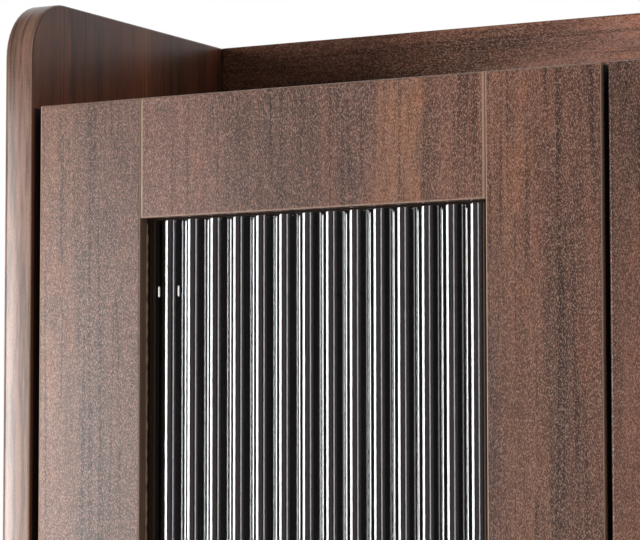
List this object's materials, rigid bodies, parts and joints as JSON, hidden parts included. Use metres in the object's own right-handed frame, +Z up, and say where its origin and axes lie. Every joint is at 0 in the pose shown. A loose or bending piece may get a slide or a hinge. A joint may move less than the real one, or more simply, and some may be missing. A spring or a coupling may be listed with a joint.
{
  "type": "kitchen hutch",
  "caption": "Free-standing kitchen hutch: shallow top stage with fluted-glass doors and a galleried top, open niche, drawers and panelled cupboard doors below.",
  "frame": {"origin": "centre of the footprint, pulls included, on the floor", "axes": "+X to the right seen from the front, +Y from front to back, +Z up"},
  "size_m": [0.7, 0.415, 1.8],
  "materials": {
    "walnut": "matt embossed walnut foil",
    "dark_board": "dark walnut print",
    "drawer_board": "smooth paper foil",
    "beech": "plain",
    "glass": "clear, fluted face",
    "steel": "zinc or nickel plated",
    "cast_zinc": "as cast",
    "brass": "satin brushed",
    "black_plastic": "moulded",
    "soft_pad": "soft felt-like pad"
  },
  "bodies": {
    "cabinet": {"base_side_left": "walnut", "base_side_right": "walnut", "base_bottom": "walnut", "toe_kick": "walnut", "drawer_deck": "walnut", "drawer_partition": "walnut", "base_shelf": "walnut", "base_back_panel": "dark_board", "worktop": "walnut", "hutch_side_left": "walnut", "hutch_side_right": "walnut", "hutch_bottom_panel": "walnut", "hutch_top_panel": "walnut", "hutch_upstand": "walnut", "hutch_shelf": "walnut", "hutch_back_panel": "dark_board", "wall_fixing_rail": "walnut", "shelf_pins": "steel", "floor_glides": "black_plastic", "hinge_arms": "steel", "hinge_screws": "steel", "slide_outer_members": "steel", "door_bumpers": "soft_pad", "cam_locks": "cast_zinc", "stage_dowels": "beech"},
    "upper_left_door": {"upper_left_stiles": "walnut", "upper_left_rails": "walnut", "upper_left_glass": "glass", "upper_left_beads": "dark_board", "upper_left_hinge_cups": "steel", "upper_left_pull": "brass"},
    "lower_left_door": {"lower_left_stiles": "walnut", "lower_left_rails": "walnut", "lower_left_panel": "walnut", "lower_left_hinge_cups": "steel", "lower_left_pull": "brass"},
    "left_drawer": {"left_drawer_front": "walnut", "left_drawer_box": "drawer_board", "left_drawer_bottom": "drawer_board", "left_slide_inner": "steel", "left_drawer_pull": "brass"},
    "left_slide_member": {"left_slide_middle": "steel"},
    "upper_right_door": {"upper_right_stiles": "walnut", "upper_right_rails": "walnut", "upper_right_glass": "glass", "upper_right_beads": "dark_board", "upper_right_hinge_cups": "steel", "upper_right_pull": "brass"},
    "lower_right_door": {"lower_right_stiles": "walnut", "lower_right_rails": "walnut", "lower_right_panel": "walnut", "lower_right_hinge_cups": "steel", "lower_right_pull": "brass"},
    "right_drawer": {"right_drawer_front": "walnut", "right_drawer_box": "drawer_board", "right_drawer_bottom": "drawer_board", "right_slide_inner": "steel", "right_drawer_pull": "brass"},
    "right_slide_member": {"right_slide_middle": "steel"}
  },
  "joints": [
    {"name": "upper_left_door_hinge", "type": "hinge", "parent": "cabinet", "child": "upper_left_door", "pos_m": [-0.32, -0.0068, 1.483], "axis": [0, 0, -1], "range_deg": [0, 95]},
    {"name": "lower_left_door_hinge", "type": "hinge", "parent": "cabinet", "child": "lower_left_door", "pos_m": [-0.32, -0.1718, 0.37], "axis": [0, 0, -1], "range_deg": [0, 95]},
    {"name": "left_drawer_slide", "type": "slide", "parent": "cabinet", "child": "left_drawer", "axis": [0, -1, 0], "range_m": [0, 0.28]},
    {"name": "left_slide_member_travel", "type": "slide", "parent": "cabinet", "child": "left_slide_member", "axis": [0, -1, 0], "range_m": [0, 0.14]},
    {"name": "upper_right_door_hinge", "type": "hinge", "parent": "cabinet", "child": "upper_right_door", "pos_m": [0.32, -0.0068, 1.483], "axis": [0, 0, 1], "range_deg": [0, 95]},
    {"name": "lower_right_door_hinge", "type": "hinge", "parent": "cabinet", "child": "lower_right_door", "pos_m": [0.32, -0.1718, 0.37], "axis": [0, 0, 1], "range_deg": [0, 95]},
    {"name": "right_drawer_slide", "type": "slide", "parent": "cabinet", "child": "right_drawer", "axis": [0, -1, 0], "range_m": [0, 0.28]},
    {"name": "right_slide_member_travel", "type": "slide", "parent": "cabinet", "child": "right_slide_member", "axis": [0, -1, 0], "range_m": [0, 0.14]}
  ],
  "couplings": [
    {"joint": "left_slide_member_travel", "follows": "left_drawer_slide", "ratio": 0.5},
    {"joint": "right_slide_member_travel", "follows": "right_drawer_slide", "ratio": 0.5}
  ]
}
